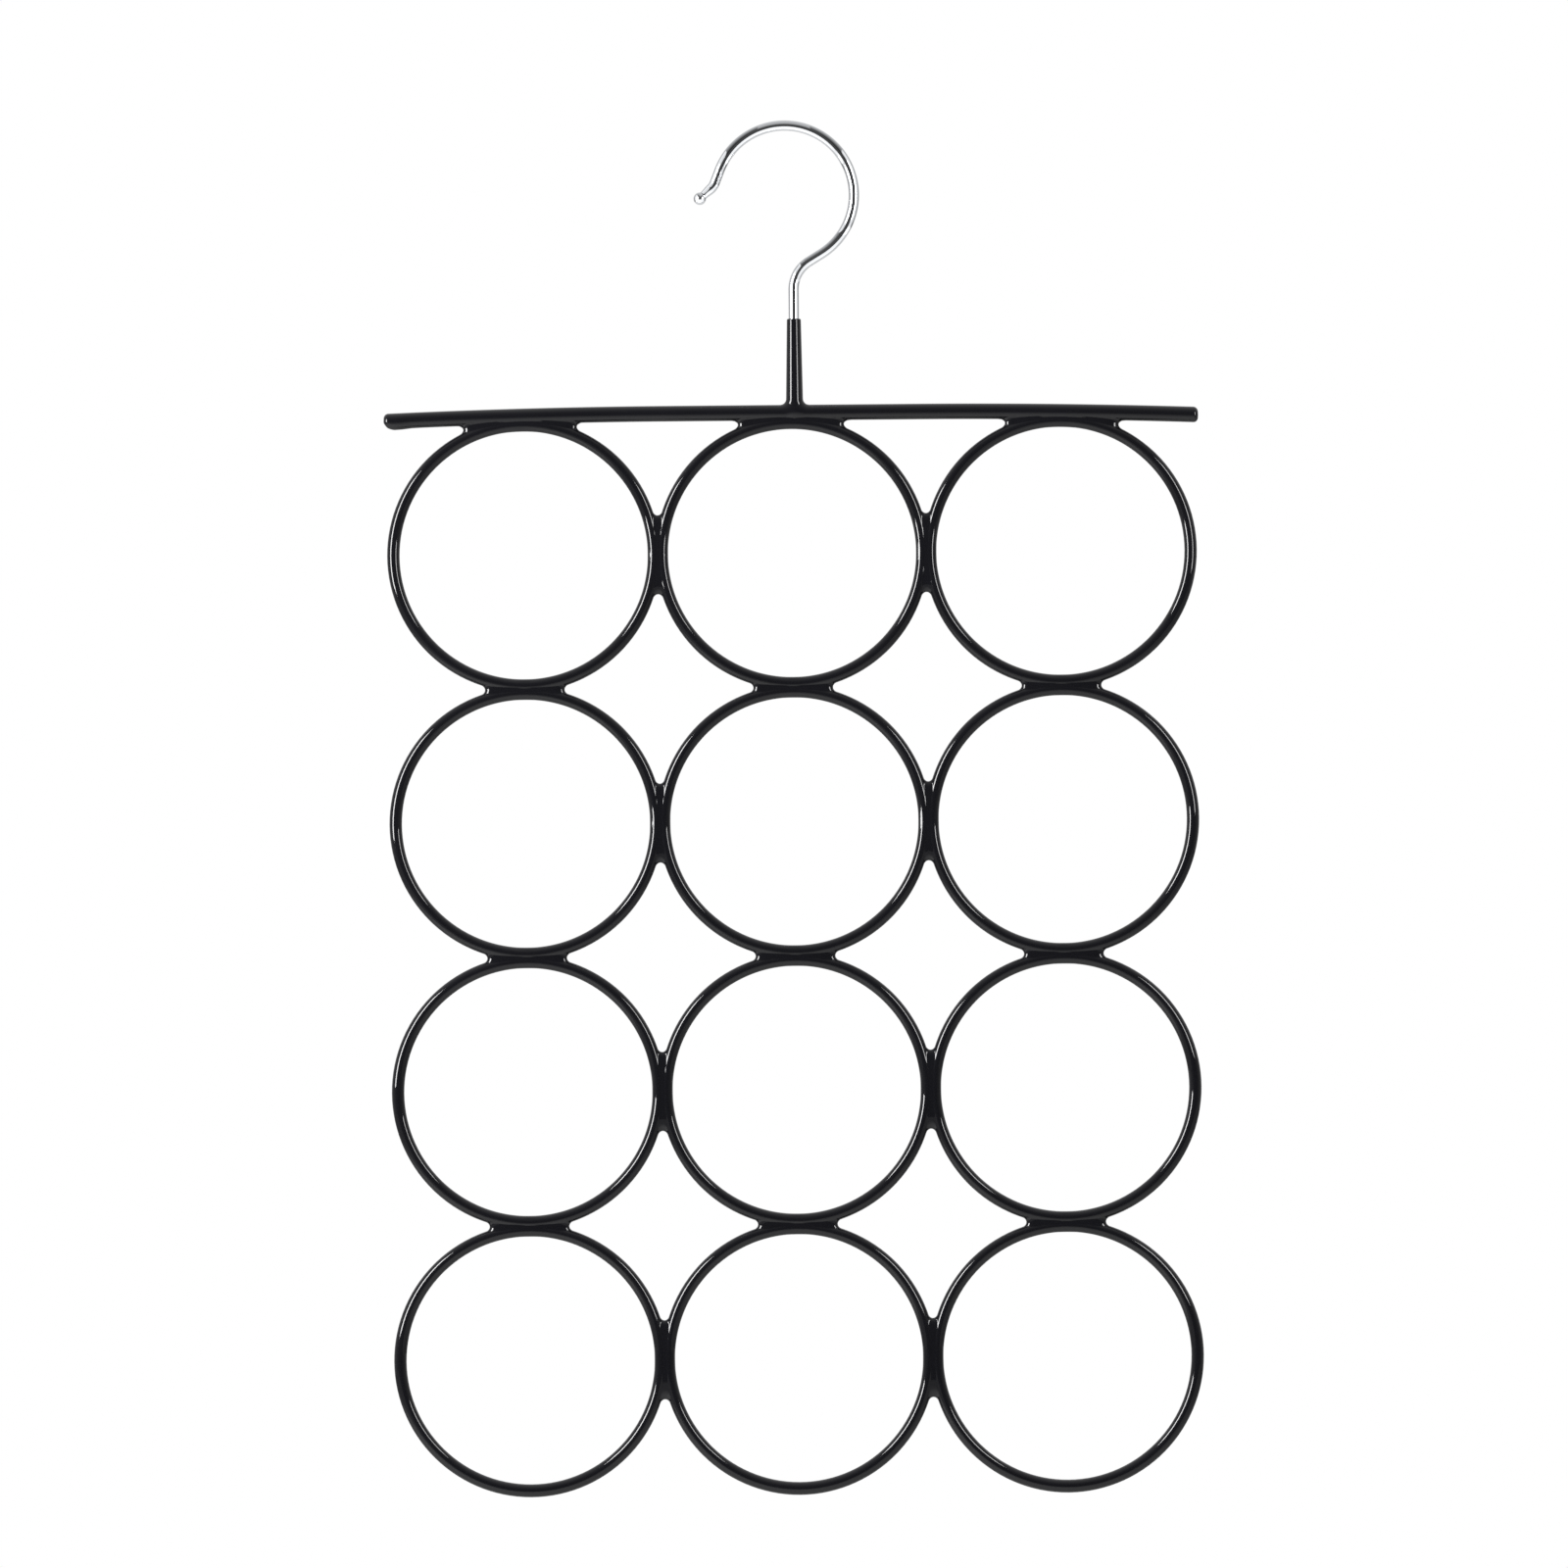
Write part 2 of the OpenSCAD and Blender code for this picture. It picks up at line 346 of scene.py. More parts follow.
def skin_normals(tube, points):
    """Outward normals of the skin from the slope of its distance."""
    steps = np.eye(3) * SLOPE_STEP
    slope = [tube.surface(points + step) - tube.surface(points - step) for step in steps]
    normals = np.stack(slope, axis=-1)
    return normals / np.maximum(np.linalg.norm(normals, axis=-1, keepdims=True), TINY)


def add_piece(name, vertices, faces, replaced):
    """A mesh piece of the object, in metres, that stands for the named solids."""
    mesh = bpy.data.meshes.new(name)
    mesh.from_pydata((np.asarray(vertices) * MM).tolist(), [], faces)
    piece = bpy.data.objects.new(name, mesh)
    scene.collection.objects.link(piece)
    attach(piece, "root")
    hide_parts(*replaced)
    return piece


def clean(piece):
    """Joins points that fall together and turns all faces outwards."""
    work = bmesh.new()
    work.from_mesh(piece.data)
    bmesh.ops.remove_doubles(work, verts=work.verts, dist=JOIN_WITHIN)
    bmesh.ops.dissolve_degenerate(work, edges=work.edges, dist=THIN_EDGE)
    bmesh.ops.recalc_face_normals(work, faces=work.faces)
    work.to_mesh(piece.data)
    work.free()
    piece.data.polygons.foreach_set("use_smooth", [True] * len(piece.data.polygons))


def skin_piece(name, tube, start, side, closed, replaced):
    """Lofts one wire's skin from the centres of its sections and the side each one faces."""
    low_touch = touching_angle(tube, start, side)
    high_touch = touching_angle(tube, start, -side)
    angles = section_angles(low_touch, high_touch)
    angles = np.concatenate([angles, -angles[:, -2:0:-1]], axis=1)
    around = angles.shape[1]
    starts = np.repeat(start[:, None], around, axis=1)
    headings = heading_at(np.repeat(side[:, None], around, axis=1), angles)
    reach, _ = tube.hit(starts, headings)
    points = (starts + headings * reach[..., None]).reshape(-1, 3)
    count = len(start)
    faces = []
    for i in range(count if closed else count - 1):
        a = i * around
        b = (i + 1) % count * around
        faces += [(a + j, a + (j + 1) % around, b + (j + 1) % around, b + j) for j in range(around)]
    if not closed:
        faces += [tuple(range(around)), tuple(range((count - 1) * around, count * around))]
    piece = add_piece(name, points, faces, replaced)
    clean(piece)
    ends = [v.co / MM for v in piece.data.vertices]
    normals = skin_normals(tube, np.array([tuple(v) for v in ends]))
    piece.data.normals_split_custom_set_from_vertices(normals.tolist())
    return piece


print("points round a tube:", 2 * (HALF_POINTS + 2 * WALL_POINTS))

# %% [markdown]
# ## The rings
# A web ends in a tight hollow, so the sections crowd together there and spread out along the
# free arcs. The place where a web ends is found by halving, as the eye would find it: the first
# angle at which light shows between the two skins.

# %% Sections round a ring
FREE_STEP = math.radians(3.0)
ARC_POINTS = 16
WIDEN = 1.35
WEB_LIMIT = math.radians(44)
SIDES = {0: (0, 1), 90: (-1, 0), 180: (0, -1), 270: (1, 0)}


def crowded(limit, inner):
    """Steps from 0 to inner that crowd towards the end of a web, then widen out to limit."""
    web = [inner * math.sin(math.pi / 2 * i / ARC_POINTS) for i in range(ARC_POINTS + 1)]
    step = (web[-1] - web[-2]) * 2
    beyond = inner
    while beyond + step < limit:
        beyond += step
        web.append(beyond)
        step = min(step * WIDEN, FREE_STEP)
    return web


def on_ring(centre, angle):
    """Centres of sections on a ring and the outward side of each."""
    side = np.stack([np.cos(angle), np.zeros_like(angle), np.sin(angle)], axis=-1)
    middle = np.array([centre[0], 0.0, centre[1]])
    return middle + side * RING_R, side


def web_end(tube, centre, at, turn):
    """Angle from a weld to where light first shows between the skins, towards turn."""
    low, high = 0.0, WEB_LIMIT
    for _ in range(HALVINGS):
        middle = (low + high) / 2
        start, side = on_ring(centre, np.array([at + turn * middle]))
        _, touches = tube.hit(start, side)
        low, high = (middle, high) if touches[0] else (low, middle)
    return low


def ring_sections(tube, centre, welded):
    """Angles of all sections of a ring, crowded at the ends of its webs."""
    quarter = math.pi / 4
    angles = []
    for degrees in SIDES:
        at = math.radians(degrees)
        for turn in (-1, 1):
            if degrees in welded:
                steps = crowded(quarter, web_end(tube, centre, at, turn))
            else:
                steps = np.arange(0, quarter, FREE_STEP)
            angles += [at + turn * step for step in steps]
        angles.append(at + quarter)
    turn = 2 * math.pi
    return np.unique(np.round(np.array(angles) % turn, 6))


print("sections at least every", round(math.degrees(FREE_STEP), 1), "degrees")

# %% Make the twelve ring skins
skins = []
for row in range(1, ROWS + 1):
    for column in range(1, COLUMNS + 1):
        centre = ring_centre(row, column)
        others = []
        welded = []
        for degrees, (down, right) in SIDES.items():
            near = (row + down, column + right)
            if 1 <= near[0] <= ROWS and 1 <= near[1] <= COLUMNS:
                beside = ring_centre(*near)
                others.append((lambda p, c=beside: to_ring(p, c), web_reach, WEB_POWER))
                welded.append(degrees)
        if row == 1:
            others.append((to_bar, web_reach, WEB_POWER))
            welded.append(90)
        tube = Tube(lambda p, c=centre: to_ring(p, c), others)
        start, side = on_ring(centre, ring_sections(tube, centre, welded))
        name = f"ring_skin_r{row}_c{column}"
        skins.append(skin_piece(name, tube, start, side, True, [f"ring_coat_r{row}_c{column}"]))
print("ring skins:", len(skins), "with", sum(len(s.data.vertices) for s in skins), "points")

# %% [markdown]
# ## The skin of the bar
# The bar's sections stand across its axis and face down, towards the rings. The same rays find
# the webs below and, in the middle, the fillet that runs up onto the hook's shank.

# %% Sections along the bar
BAR_STEP = 3.0
JOINT_LIMIT = 30.0
WEB_STEP, FILLET_STEP = 0.25, 0.15
CORNER_SECTIONS = 14
top_rings = [ring_centre(1, column) for column in range(1, COLUMNS + 1)]
bar_others = [(lambda p, c=centre: to_ring(p, c), web_reach, WEB_POWER) for centre in top_rings]
bar_others.append((to_sleeve, fillet_reach, FILLET_POWER))
bar_tube = Tube(to_bar, bar_others)


def on_bar(x):
    """Centres of sections on the bar, facing down."""
    middle = np.stack([x, np.zeros_like(x), bar_height(x) - drip(x)], axis=-1)
    return middle, np.tile(np.array([0.0, 0.0, -1.0]), (len(x), 1))


def contact_end(tube, at, turn, up):
    """Distance along the bar from a joint to where its web or fillet ends."""
    low, high = 0.0, JOINT_LIMIT
    for _ in range(HALVINGS):
        middle = (low + high) / 2
        start, side = on_bar(np.array([at + turn * middle]))
        _, touches = tube.hit(start, -side if up else side)
        low, high = (middle, high) if touches[0] else (low, middle)
    return low


def crowded_run(end, step, beyond):
    """Distances from a joint that crowd towards the end of its web, and a few beyond it."""
    web = [end * math.sin(math.pi / 2 * i / ARC_POINTS) for i in range(ARC_POINTS + 1)]
    return web + [end + step * i * i for i in range(1, beyond + 1)]


print("bar sections every", BAR_STEP, "mm and closer at each joint")

# %% Make the bar's skin
places = list(np.arange(FRAME_X - BAR_HALF + BAR_STEP, FRAME_X + BAR_HALF - 1, BAR_STEP))
for centre in top_rings:
    for turn in (-1, 1):
        end = contact_end(bar_tube, centre[0], turn, False)
        places += [centre[0] + turn * f for f in crowded_run(end, WEB_STEP, 3)]
for turn in (-1, 1):
    end = contact_end(bar_tube, SHANK_X, turn, True)
    places += [SHANK_X + turn * f for f in crowded_run(end, FILLET_STEP, 4)]
    corner = [BAR_HALF - DRIP_NOSE * (1 - math.cos(math.pi / 2 * i / CORNER_SECTIONS))
              for i in range(CORNER_SECTIONS + 1)]
    places += [FRAME_X + turn * c for c in corner]
start, side = on_bar(np.unique(np.round(np.array(places), 4)))
bar_skin = skin_piece("bar_skin", bar_tube, start, side, False, ["bar_coat"])
print("bar skin:", len(start), "sections,", len(bar_skin.data.vertices), "points")

# %% [markdown]
# ## The sleeve on the shank
# When the frame is dipped hook up, the bath stops part of the way up the shank. That leaves a
# sleeve that tapers to a thin soft rim. Its sections are level and look along the bar.

# %% Sections up the shank
SLEEVE_START, FILLET_HEIGHT = 0.7, 3.5
FILLET_RISE, CONE_RISE, RIM_SECTIONS = 0.2, 1.5, 7
sleeve_tube = Tube(to_sleeve, [(to_bar, fillet_reach, FILLET_POWER)])
fine_z = np.arange(BAR_Z + SLEEVE_START, BAR_TOP + FILLET_HEIGHT, FILLET_RISE)
plain_z = np.arange(BAR_TOP + FILLET_HEIGHT, SLEEVE_TOP - RIM_ROUND, CONE_RISE)
rim_z = SLEEVE_TOP - RIM_ROUND * (1 - np.sin(np.linspace(0, math.pi / 2, RIM_SECTIONS)))
heights = np.unique(np.round(np.concatenate([fine_z, plain_z, rim_z]), 4))
start = np.stack([np.full_like(heights, SHANK_X), np.zeros_like(heights), heights], axis=-1)
side = np.tile(np.array([1.0, 0.0, 0.0]), (len(heights), 1))
sleeve_skin = skin_piece("sleeve_skin", sleeve_tube, start, side, False, ["shank_sleeve"])
print("sleeve:", len(heights), "sections")

# %% [markdown]
# ## The hook
# The hook is one length of wire bent on a jig and then polished and chromed, with a small ball
# upset at the tip so that it doesn't snag. A curve with a bevel would do, but its radius can't be
# worked as finely where the wire narrows before the ball. So the path is drawn as runs and bends,
# one after the other as on the jig, and a round section is swept along it. Where a run meets a
# bend the sections are close on both sides, or the gloss would smear across the join.

# %% Measures of the hook
CROOK_R, NECK_R, TIP_R = 22.15, 10.4, 5.0
CROOK_BACK, CROOK_FRONT, TIP_BEND = 148.5, 68.7, 27.3
NECK_RUN, TIP_RUN, TIP_STUB = 4.65, 4.3, 4.6
BALL_R, BALL_NECK_R = 2.0, 1.35
BALL_ROOT = math.sqrt(BALL_R**2 - BALL_NECK_R**2)
SHANK_PIECES, NECK_PIECES, NECK_RUN_PIECES, CROOK_PIECES = 40, 24, 12, 110
TIP_RUN_PIECES, TIP_BEND_PIECES, TIP_PIECES, BALL_PIECES = 12, 14, 9, 19
SHANK_FOOT = BAR_Z + BAR_WIRE_R
NECK_BEND = CROOK_BACK - 90
neck_turn = math.radians(NECK_BEND)
SHANK_HEAD = (HOOK_WIRE_R - CROOK_R - CROOK_R * math.sin(neck_turn)
              - NECK_RUN * math.cos(neck_turn) - NECK_R * math.sin(neck_turn))
print(f"the shank is straight for {SHANK_HEAD - SHANK_FOOT:.1f} mm")

# %% The wire's path


def hook_path():
    """Points of the wire's centreline and the wire's heading at each."""
    here = np.array([SHANK_X, SHANK_FOOT])
    heading = math.pi / 2
    path = [(here.copy(), heading)]

    def run(length, pieces):
        nonlocal here
        forward = np.array([math.cos(heading), math.sin(heading)])
        for i in range(1, pieces + 1):
            path.append((here + forward * length * i / pieces, heading))
        here = here + forward * length

    def bend(degrees, radius, pieces):
        nonlocal here, heading
        turn = math.radians(degrees)
        left = 1 if turn > 0 else -1
        hub = here + radius * left * np.array([-math.sin(heading), math.cos(heading)])
        arm = here - hub
        for i in range(1, pieces + 1):
            a = turn * i / pieces
            spun = np.array([arm[0] * math.cos(a) - arm[1] * math.sin(a),
                             arm[0] * math.sin(a) + arm[1] * math.cos(a)])
            path.append((hub + spun, heading + a))
        here = hub + spun
        heading += turn

    run(SHANK_HEAD - SHANK_FOOT, SHANK_PIECES)
    bend(-NECK_BEND, NECK_R, NECK_PIECES)
    run(NECK_RUN, NECK_RUN_PIECES)
    bend(CROOK_BACK + CROOK_FRONT, CROOK_R, CROOK_PIECES)
    run(TIP_RUN, TIP_RUN_PIECES)
    bend(-TIP_BEND, TIP_R, TIP_BEND_PIECES)
    run(TIP_STUB - BALL_ROOT, TIP_PIECES)
    return path, here, heading


path, here, heading = hook_path()
print("points on the path:", len(path))

# %% Its sections, down to the ball
forward = np.array([math.cos(heading), math.sin(heading)])
sections = [(point, h, HOOK_WIRE_R) for point, h in path]
for i in range(1, TIP_PIECES + 1):
    thinner = (i / TIP_PIECES) ** 2 * (3 - 2 * i / TIP_PIECES)
    at = i - 1 - TIP_PIECES
    point, h, _ = sections[at]
    sections[at] = (point, h, HOOK_WIRE_R - (HOOK_WIRE_R - BALL_NECK_R) * thinner)
ball_centre = here + forward * BALL_ROOT
root_angle = math.asin(BALL_NECK_R / BALL_R)
for i in range(1, BALL_PIECES):
    a = root_angle + (math.pi - root_angle) * i / BALL_PIECES
    point = ball_centre - forward * BALL_R * math.cos(a)
    sections.append((point, heading, BALL_R * math.sin(a)))
print("sections:", len(sections))

# %% Join the sections to the hook
HOOK_AROUND = 40
vertices = []
for point, h, radius in sections:
    across = np.array([-math.sin(h), 0.0, math.cos(h)])
    for j in range(HOOK_AROUND):
        a = 2 * math.pi * j / HOOK_AROUND
        offset = across * math.cos(a) * radius + np.array([0.0, math.sin(a) * radius, 0.0])
        vertices.append(np.array([point[0], 0.0, point[1]]) + offset)
around = [(j, (j + 1) % HOOK_AROUND) for j in range(HOOK_AROUND)]
faces = []
for i in range(len(sections) - 1):
    a, b = i * HOOK_AROUND, (i + 1) * HOOK_AROUND
    faces += [(a + j, a + k, b + k, b + j) for j, k in around]
tip = ball_centre + forward * BALL_R
vertices.append(np.array([tip[0], 0.0, tip[1]]))
last = (len(sections) - 1) * HOOK_AROUND
faces += [(last + j, last + k, len(vertices) - 1) for j, k in around]
faces.append(tuple(range(HOOK_AROUND)))
hook = add_piece("hook_wire", vertices, faces, ["hook"])
clean(hook)
print(f"hook: {len(faces)} faces, top at {max(v[2] for v in vertices):.2f} mm")

# %% [markdown]
# ## Colours and nodes
# Colours are written as sRGB hex values, the way a paint chart gives them, and one function turns
# them to the linear values that a shader works with. A second small function adds a node with its
# settings and its links.

# %% Helpers for materials


def linear(hex_colour):
    """An sRGB hex colour as linear red, green, blue and alpha."""
    parts = [int(hex_colour[i:i + 2], 16) / 255 for i in (1, 3, 5)]
    return [c / 12.92 if c <= 0.04045 else ((c + 0.055) / 1.055) ** 2.4 for c in parts] + [1.0]


def add_node(tree, kind, settings=None, links=None):
    """A node with its attributes or sockets set, and sockets linked from others."""
    node = tree.nodes.new(kind)
    for key, value in (settings or {}).items():
        if isinstance(key, str) and hasattr(node, key):
            setattr(node, key, value)
        else:
            node.inputs[key].default_value = value
    for key, source in (links or {}).items():
        tree.links.new(source, node.inputs[key])
    return node


def new_material(name):
    """An empty material and its tree of nodes."""
    material = bpy.data.materials.new(name)
    material.use_nodes = True
    material.node_tree.nodes.clear()
    return material, material.node_tree


print("the skin's black as linear:", [round(c, 4) for c in linear("#141417")[:3]])

# %% [markdown]
# ## Dip-coated PVC
# The skin is plastisol: PVC that was liquid, drained and was cured in an oven. It comes out as a
# deep black with a wet gloss. Under the gloss the surface is a little wavy, because the liquid
# crept before it set: waves some 6 mm long and a faint orange peel under 1 mm. To
# the eye this makes the light lines on the tubes waver slightly. The gloss also varies, with
# duller patches where the skin has been handled. Noise in the object's own space gives all three,
# and the patches change the tint a little too.

# %% Material of the skin
MM_PER_M = 1000.0
CREEP_MM, PEEL_MM, HANDLED_MM = 6.0, 0.9, 25.0
CREEP_HEIGHT, PEEL_HEIGHT = 0.00002, 0.000002

pvc, tree = new_material("dip_coated_pvc")
place = add_node(tree, "ShaderNodeTexCoord")
creep = add_node(tree, "ShaderNodeTexNoise", {"Scale": MM_PER_M / CREEP_MM, "Detail": 1.0},
                 {"Vector": place.outputs["Object"]})
peel = add_node(tree, "ShaderNodeTexNoise", {"Scale": MM_PER_M / PEEL_MM, "Detail": 2.0},
                {"Vector": place.outputs["Object"]})
handled = add_node(tree, "ShaderNodeTexNoise", {"Scale": MM_PER_M / HANDLED_MM, "Detail": 3.0},
                   {"Vector": place.outputs["Object"]})
creep_bump = add_node(tree, "ShaderNodeBump", {"Strength": 0.3, "Distance": CREEP_HEIGHT},
                      {"Height": creep.outputs[0]})
peel_bump = add_node(tree, "ShaderNodeBump", {"Strength": 0.1, "Distance": PEEL_HEIGHT},
                     {"Height": peel.outputs[0], "Normal": creep_bump.outputs[0]})
gloss = add_node(tree, "ShaderNodeMapRange",
                 {"From Min": 0.35, "From Max": 0.7, "To Min": 0.035, "To Max": 0.065},
                 {"Value": handled.outputs[0]})
tint = add_node(tree, "ShaderNodeMix",
                {"data_type": "RGBA", 6: linear("#141417"), 7: linear("#19191d")},
                {0: handled.outputs[0]})
skin_shader = add_node(tree, "ShaderNodeBsdfPrincipled", {"IOR": 1.53},
                       {"Base Color": tint.outputs[2], "Roughness": gloss.outputs[0],
                        "Normal": peel_bump.outputs[0]})
add_node(tree, "ShaderNodeOutputMaterial", {}, {"Surface": skin_shader.outputs[0]})
for piece in skins + [bar_skin, sleeve_skin]:
    piece.data.materials.append(pvc)
print("skin material on", len(skins) + 2, "pieces")

# %% [markdown]
# ## Polished chrome
# The hook is steel, polished, nickel plated and then chromed. Chrome is a cool bright metal that
# shows its surroundings almost as a mirror. Polishing a thin wire leaves it slightly uneven, with
# a haze that comes and goes every 4 mm or so and very shallow waves, so that the mirrored edges
# are not quite straight. One noise gives both.

# %% Material of the hook
HAZE_MM = 4.0
WAVE_HEIGHT = 0.000003

chrome, tree = new_material("polished_chrome_plate")
place = add_node(tree, "ShaderNodeTexCoord")
haze = add_node(tree, "ShaderNodeTexNoise", {"Scale": MM_PER_M / HAZE_MM, "Detail": 4.0},
                {"Vector": place.outputs["Object"]})
polish = add_node(tree, "ShaderNodeMapRange",
                  {"From Min": 0.3, "From Max": 0.7, "To Min": 0.035, "To Max": 0.075},
                  {"Value": haze.outputs[0]})
wave = add_node(tree, "ShaderNodeBump", {"Strength": 0.15, "Distance": WAVE_HEIGHT},
                {"Height": haze.outputs[0]})
chrome_shader = add_node(tree, "ShaderNodeBsdfPrincipled",
                         {"Base Color": linear("#d3d5d8"), "Metallic": 1.0},
                         {"Roughness": polish.outputs[0], "Normal": wave.outputs[0]})
add_node(tree, "ShaderNodeOutputMaterial", {}, {"Surface": chrome_shader.outputs[0]})
hook.data.materials.append(chrome)
print("chrome on", hook.name)

# %% [markdown]
# ## Drawn steel under the skin
# The wires inside are bright steel, drawn through a die. That leaves them a satin grey, with die
# marks that are some hundredths of a millimetre apart. Those are too fine to show, so they are
# drawn as a mottle of 0.8 mm. The wires are sealed in the skin, but they are real pieces, so they
# get their own finish.

# %% Material of the inner wires
DIE_MARK_MM = 0.8
MARK_DEPTH = 0.00001

steel, tree = new_material("drawn_steel_wire")
place = add_node(tree, "ShaderNodeTexCoord")
marks = add_node(tree, "ShaderNodeTexNoise", {"Scale": MM_PER_M / DIE_MARK_MM, "Detail": 3.0},
                 {"Vector": place.outputs["Object"]})
satin = add_node(tree, "ShaderNodeMapRange", {"To Min": 0.28, "To Max": 0.42},
                 {"Value": marks.outputs[0]})
scratch = add_node(tree, "ShaderNodeBump", {"Strength": 0.2, "Distance": MARK_DEPTH},
                   {"Height": marks.outputs[0]})
steel_shader = add_node(tree, "ShaderNodeBsdfPrincipled",
                        {"Base Color": linear("#9a9a9c"), "Metallic": 1.0},
                        {"Roughness": satin.outputs[0], "Normal": scratch.outputs[0]})
add_node(tree, "ShaderNodeOutputMaterial", {}, {"Surface": steel_shader.outputs[0]})
wires = [node for name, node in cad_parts.items() if "wire" in name]
for wire in wires:
    wire.data.materials.clear()
    wire.data.materials.append(steel)
print("steel on", len(wires), "inner wires")

# %% [markdown]
# ## Camera
# The photograph looks straight at the hanger from some way off, and the hanger hangs half a
# degree out of true in it. The camera takes over that half degree, so that the object itself
# stays upright in its own frame. The Standard view shows colours as they are written.

# %% Set up the camera
VIEW_WIDTH = 0.5
VIEW_CENTRE = Vector((-0.0018, 0.0, -0.2083))
CAMERA_DISTANCE = 2.4
SENSOR_MM = 36.0
ROLL = math.radians(-0.504)
camera_data = bpy.data.cameras.new("camera")
camera_data.sensor_width = SENSOR_MM
camera_data.lens = SENSOR_MM * CAMERA_DISTANCE / VIEW_WIDTH
camera = bpy.data.objects.new("camera", camera_data)
scene.collection.objects.link(camera)
upright = Matrix.Rotation(math.pi / 2, 4, "X")
camera.matrix_world = (Matrix.Translation(VIEW_CENTRE + Vector((0, -CAMERA_DISTANCE, 0)))
                       @ Matrix.Rotation(ROLL, 4, "Y").inverted() @ upright)
scene.camera = camera
scene.view_settings.view_transform = "Standard"
print(f"lens {camera_data.lens:.0f} mm at {CAMERA_DISTANCE} m")

# %% [markdown]
# ## Light
# Glossy black is lit by what it mirrors. Two tall narrow lamps stand left and right of the
# camera, and each draws one thin line down every tube that runs upright. One lamp would leave the
# runs that lean the other way without a line.

# %% Two strip lamps
def panel(name, centre, toward, size, radiance):
    """A flat lamp at centre that shines toward a point, as bright as the given radiance."""
    data = bpy.data.lights.new(name, "AREA")
    data.shape = "RECTANGLE"
    data.size, data.size_y = size
    data.energy = radiance * math.pi * size[0] * size[1]
    lamp = bpy.data.objects.new(name, data)
    lamp.location = centre
    lamp.rotation_euler = (Vector(centre) - Vector(toward)).to_track_quat("Z", "Y").to_euler()
    scene.collection.objects.link(lamp)
    return lamp


def strip_lamp(name, degrees, distance, foot, head, width, radiance):
    """A tall narrow lamp beside the camera; degrees are counted from the camera to the right."""
    angle = math.radians(degrees)
    middle = (foot + head) / 2
    centre = (distance * math.sin(angle), -distance * math.cos(angle), middle)
    return panel(name, centre, (0, 0, middle), (width, head - foot), radiance)


strip_lamp("strip_left", -52.0, 1.1, -0.31, 0.46, 0.30, 20.0)
strip_lamp("strip_right", 45.0, 1.0, -0.2, 0.42, 0.20, 11.0)
print("strip lamps: 2")

# %% [markdown]
# The chrome needs a surrounding of its own. Small white cards stand close about the hook, with a
# gap between them for the camera. Chrome mirrors the cards as white bands, and the gap as the
# dark line down its middle. Dimmer cards in front and overhead turn that dark to a soft grey
# along the top of the crook. The cards are lamps that are linked to the hook, so the black skin
# doesn't show them.

# %% White cards about the hook
CARD_X, CARD_FOOT, CARD_HEAD, CARD_LEVEL = 0.07, -0.062, 0.038, 0.95
LOW, HIGH, OVERHEAD = -0.072, 0.5, 0.12
NARROW, WIDE = 0.1, 0.24
FRONT_Z = 0.01
card_middle = (CARD_FOOT + CARD_HEAD) / 2
cards = []
# A name, the side, and where the card ends behind and before the hook, in metres.
BESIDE = (("card_left", -CARD_X, 0.008, -0.170), ("card_right", CARD_X, 0.0, -0.092))
for name, x, back, front in BESIDE:
    y = (back + front) / 2
    cards.append(panel(name, (x, y, card_middle), (0, y, card_middle),
                       (back - front, CARD_HEAD - CARD_FOOT), CARD_LEVEL))
# A name, how far back its middle is, its depth, and its level, where 1 is white.
UNDER = (("card_below", -0.085, 0.15, 1.1), ("card_behind", 0.12, 0.26, 0.5))
for name, y, depth, level in UNDER:
    cards.append(panel(name, (0, y, LOW), (0, y, HIGH), (WIDE, depth), level))
cards.append(panel("card_front", (0, -0.2, FRONT_Z), (0, 0, FRONT_Z), (NARROW, 0.22), 0.07))
ABOVE = (("card_above_front", -0.13, 0.14, 0.35), ("card_above", -0.02, 0.08, 0.25))
for name, y, depth, level in ABOVE:
    cards.append(panel(name, (0, y, OVERHEAD), (0, y, 0), (NARROW, depth), level))
hook_alone = bpy.data.collections.new("hook_alone")
hook_alone.objects.link(hook)
for card in cards:
    card.visible_camera = False
    card.visible_diffuse = False
    card.light_linking.receiver_collection = hook_alone
print("cards:", [card.name for card in cards])

# %% [markdown]
# The room is what the skin and the chrome mirror beyond the lamps. It is dark behind the camera
# and gets lighter toward the back and overhead, which gives each tube its soft grey rims. The
# camera itself sees plain white, and matt things get an even dim light from all round.

# %% The room
world = bpy.data.worlds.new("studio")
scene.world = world
world.use_nodes = True
tree = world.node_tree
tree.nodes.clear()
toward = add_node(tree, "ShaderNodeTexCoord")
axes = add_node(tree, "ShaderNodeSeparateXYZ", {}, {0: toward.outputs["Generated"]})
room = add_node(tree, "ShaderNodeMapRange",
                {"From Min": -0.95, "From Max": 1.0, "To Min": 0.01, "To Max": 0.65},
                {"Value": axes.outputs["Y"]})
above = add_node(tree, "ShaderNodeMapRange",
                 {"From Min": 0.0, "From Max": 1.0, "To Min": 1.0, "To Max": 1.8},
                 {"Value": axes.outputs["Z"]})
room = add_node(tree, "ShaderNodeMath", {"operation": "MULTIPLY"},
                {0: room.outputs[0], 1: above.outputs[0]})
rays = add_node(tree, "ShaderNodeLightPath")
mirrored = add_node(tree, "ShaderNodeMath", {"operation": "MAXIMUM"},
                    {0: rays.outputs["Is Glossy Ray"], 1: rays.outputs["Is Transmission Ray"]})
PLAIN_LEVEL = 0.22
level = add_node(tree, "ShaderNodeMix", {"data_type": "FLOAT", 2: PLAIN_LEVEL},
                 {0: mirrored.outputs[0], 3: room.outputs[0]})
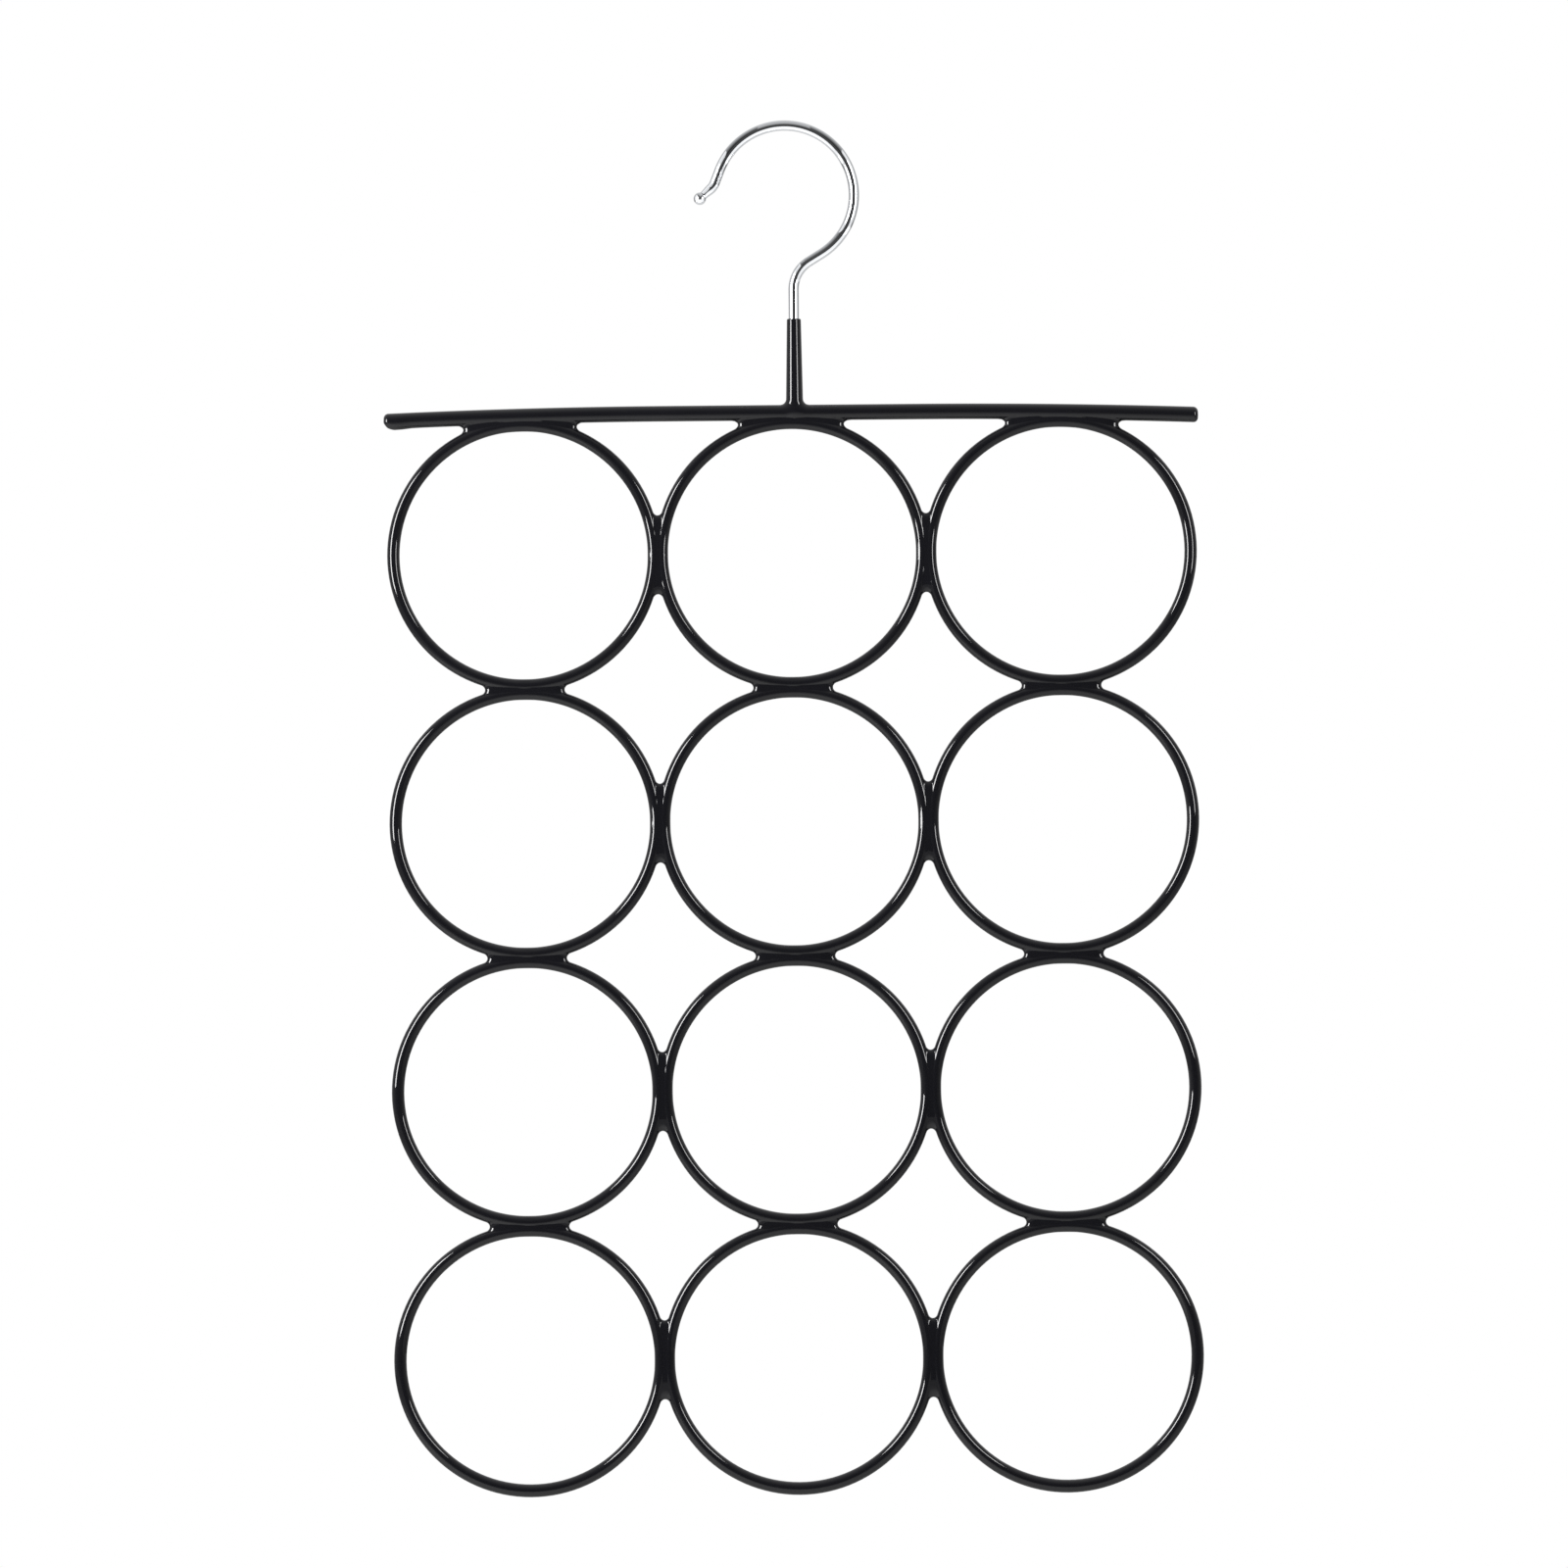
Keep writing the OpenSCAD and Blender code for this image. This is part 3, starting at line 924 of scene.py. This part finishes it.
seen = add_node(tree, "ShaderNodeMath", {"operation": "MAXIMUM"},
                {0: rays.outputs["Is Camera Ray"], 1: level.outputs[0]})
white = add_node(tree, "ShaderNodeBackground", {"Color": (1.0, 1.0, 1.0, 1.0)},
                 {"Strength": seen.outputs[0]})
add_node(tree, "ShaderNodeOutputWorld", {}, {"Surface": white.outputs[0]})
print("plain level", PLAIN_LEVEL)

# %% [markdown]
# ## The floor
# The hanger hangs in front of plain white, and below it lies a floor of white paper, well out of
# the picture. Paper is matt and faintly warm. Its fibres are too fine to show from here, so
# only the clouding of the pulp is drawn, 15 mm wide. The camera sees the floor lifted toward
# white, and it keeps the shadow, because the lift is only for camera rays.

# %% Lay the floor
FLOOR_Z, FLOOR_HALF, FLOOR_LIFT = -0.8, 2.5, 0.55
CLOUD_MM = 15.0
floor_mesh = bpy.data.meshes.new("floor")
corners = [(x * FLOOR_HALF, y * FLOOR_HALF, FLOOR_Z) for x, y in ((-1, -1), (1, -1), (1, 1), (-1, 1))]
floor_mesh.from_pydata(corners, [], [(0, 1, 2, 3)])
floor = bpy.data.objects.new("floor", floor_mesh)
scene.collection.objects.link(floor)
paper, tree = new_material("white_paper")
across_floor = 2 * FLOOR_HALF * MM_PER_M / CLOUD_MM
clouds = add_node(tree, "ShaderNodeTexNoise", {"Scale": across_floor, "Detail": 3.0})
sheet = add_node(tree, "ShaderNodeMix",
                 {"data_type": "RGBA", 6: linear("#f4f4f2"), 7: linear("#f8f8f7")},
                 {0: clouds.outputs[0]})
looked_at = add_node(tree, "ShaderNodeLightPath")
lifted = add_node(tree, "ShaderNodeMath", {"operation": "MULTIPLY", 1: FLOOR_LIFT},
                  {0: looked_at.outputs["Is Camera Ray"]})
paper_shader = add_node(tree, "ShaderNodeBsdfPrincipled",
                        {"Roughness": 0.9, "Emission Color": linear("#f6f6f5")},
                        {"Base Color": sheet.outputs[2], "Emission Strength": lifted.outputs[0]})
add_node(tree, "ShaderNodeOutputMaterial", {}, {"Surface": paper_shader.outputs[0]})
floor_mesh.materials.append(paper)
print("floor at", FLOOR_Z, "m")
